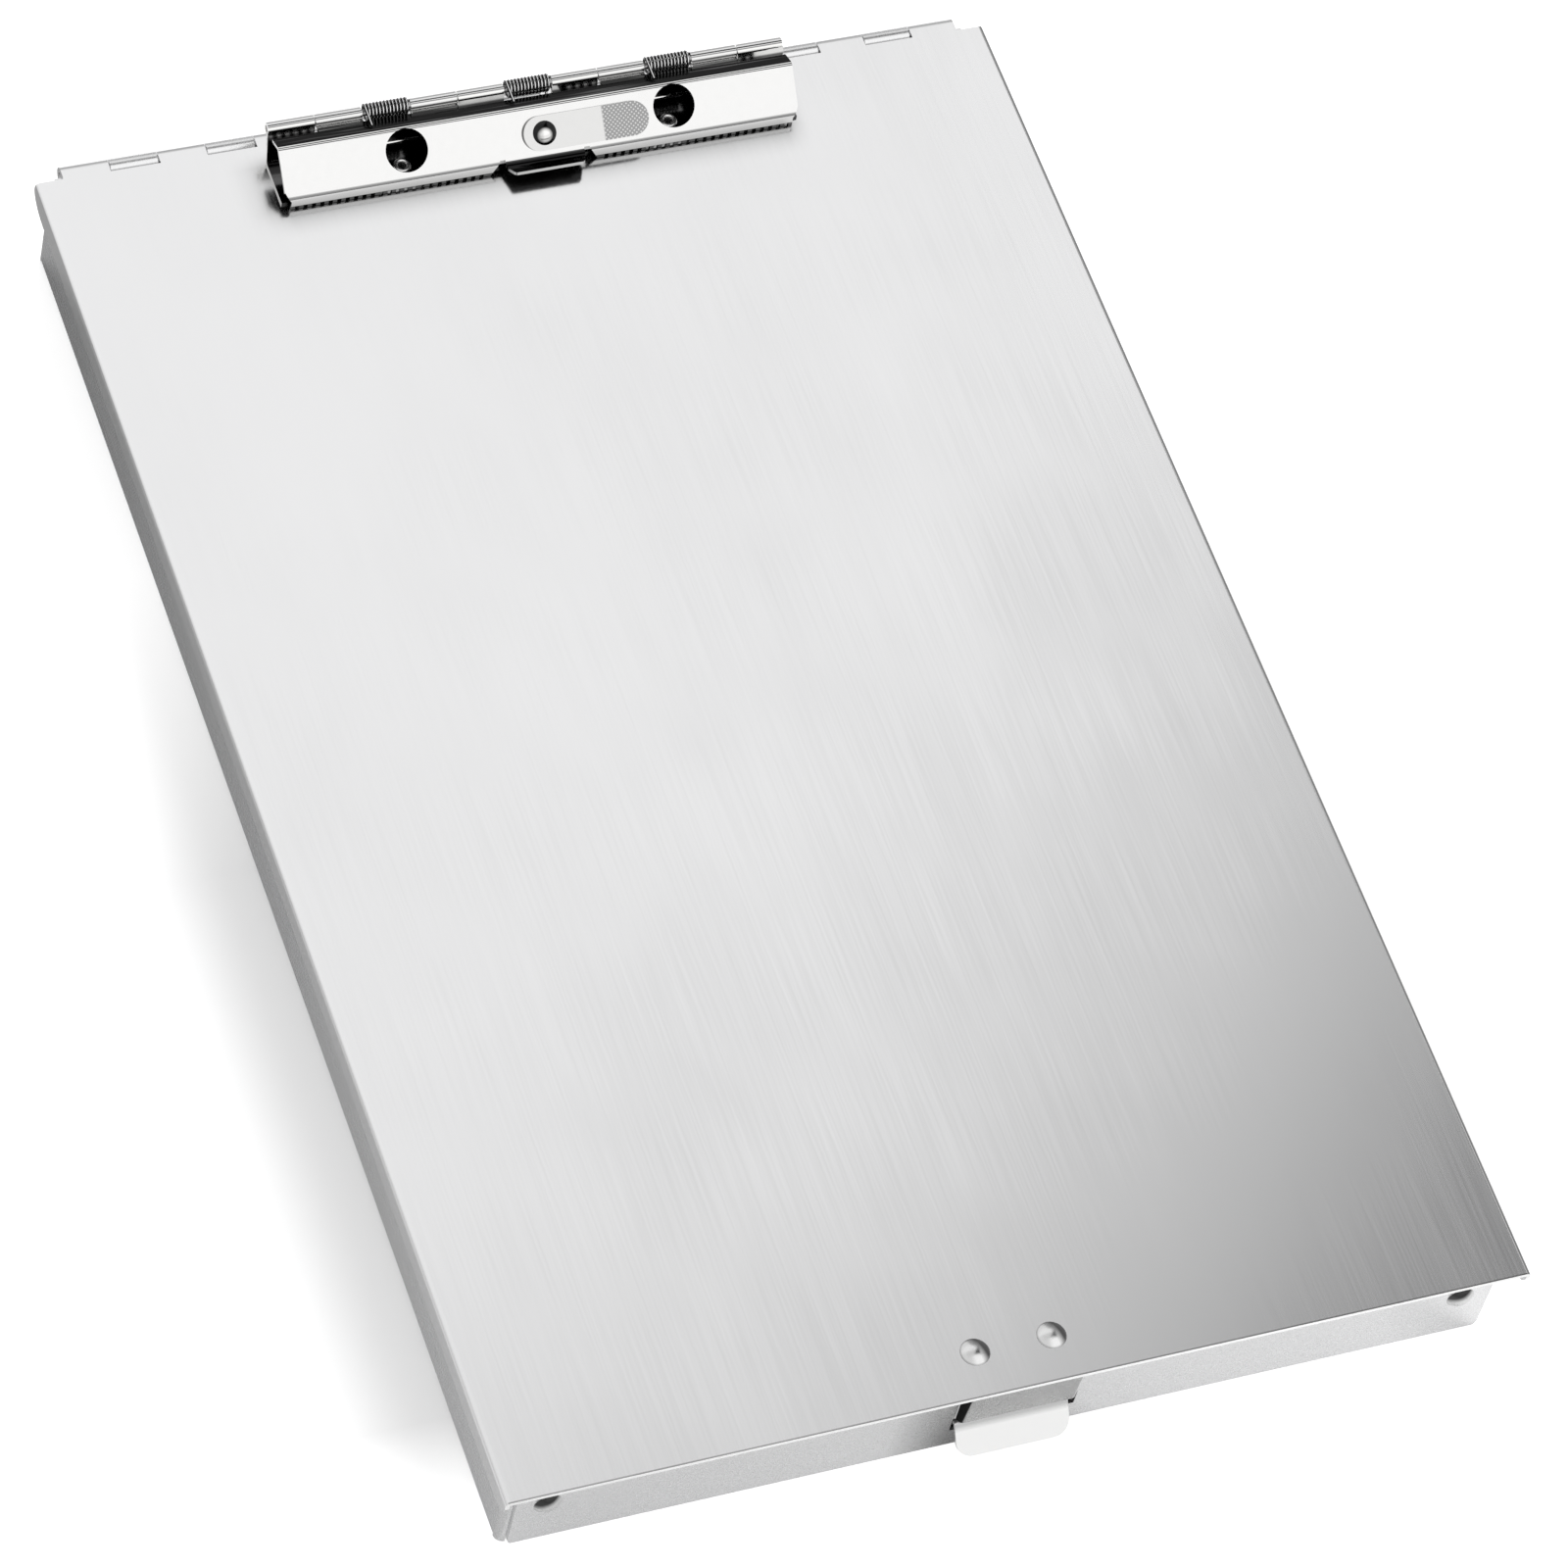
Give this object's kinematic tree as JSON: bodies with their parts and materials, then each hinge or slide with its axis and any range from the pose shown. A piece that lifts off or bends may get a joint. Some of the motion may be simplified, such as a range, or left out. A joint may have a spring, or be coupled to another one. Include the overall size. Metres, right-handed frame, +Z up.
{
  "type": "storage clipboard box",
  "caption": "Shallow sheet-metal form box with a piano-hinged lid, a snap latch at the front and a spring paper clip with a swivel lever on top",
  "frame": {"origin": "centre of the flat underside of the box, midway between the outer faces of its side walls and of its front and rear walls", "axes": "+X to the right seen from the latch side, +Y from the latch to the hinge, +Z up"},
  "size_m": [0.23, 0.3535, 0.0383],
  "materials": {
    "box_aluminium": "satin mill finish with a faint lengthwise grain",
    "lid_aluminium": "satin mill finish with a faint lengthwise grain",
    "rivet_aluminium": "polished, domed",
    "pin_steel": "bright drawn wire",
    "latch_steel": "bright plated spring steel",
    "clip_plate": "bright nickel plate",
    "clip_rivet_plate": "bright nickel plate",
    "spring_steel": "plated spring wire",
    "lever_plate": "bright nickel plate, knurled at the free end"
  },
  "bodies": {
    "box": {"box_tray": "box_aluminium", "main_hinge_pin": "pin_steel", "front_left_corner_rivet": "rivet_aluminium", "front_right_corner_rivet": "rivet_aluminium", "rear_left_corner_rivet": "rivet_aluminium", "rear_right_corner_rivet": "rivet_aluminium"},
    "lid": {"lid": "lid_aluminium", "latch_foot": "latch_steel", "latch_rivet_left": "rivet_aluminium", "latch_rivet_right": "rivet_aluminium", "clip_base": "clip_plate", "clip_rivet_left": "clip_rivet_plate", "clip_rivet_right": "clip_rivet_plate", "clip_hinge_pin": "pin_steel", "clip_spring_left": "spring_steel", "clip_spring_middle": "spring_steel", "clip_spring_right": "spring_steel"},
    "latch": {"latch_tongue": "latch_steel"},
    "clip_jaw": {"clip_jaw": "clip_plate", "lever_rivet": "clip_rivet_plate"},
    "lever": {"swivel_lever": "lever_plate"}
  },
  "joints": [
    {"name": "lid_hinge", "type": "hinge", "parent": "box", "child": "lid", "pos_m": [0, 0.17325, 0.0252], "axis": [-1, 0, 0], "range_deg": [0, 180]},
    {"name": "latch_flex", "type": "hinge", "parent": "lid", "child": "latch", "pos_m": [0, -0.17055, 0.0234], "axis": [1, 0, 0], "range_deg": [0, 6], "stiffness_Nm_per_rad": 1.2},
    {"name": "clip_hinge", "type": "hinge", "parent": "lid", "child": "clip_jaw", "pos_m": [0, 0.16885, 0.0361], "axis": [-1, 0, 0], "range_deg": [0, 50], "stiffness_Nm_per_rad": 0.3, "springref_deg": -68.75, "deforming": ["clip_spring_left", "clip_spring_middle", "clip_spring_right"]},
    {"name": "lever_swivel", "type": "hinge", "parent": "clip_jaw", "child": "lever", "pos_m": [0.0004, 0.15635, 0.03423], "axis": [0, -0.6576, 0.7534], "range_deg": [0, 180]}
  ]
}
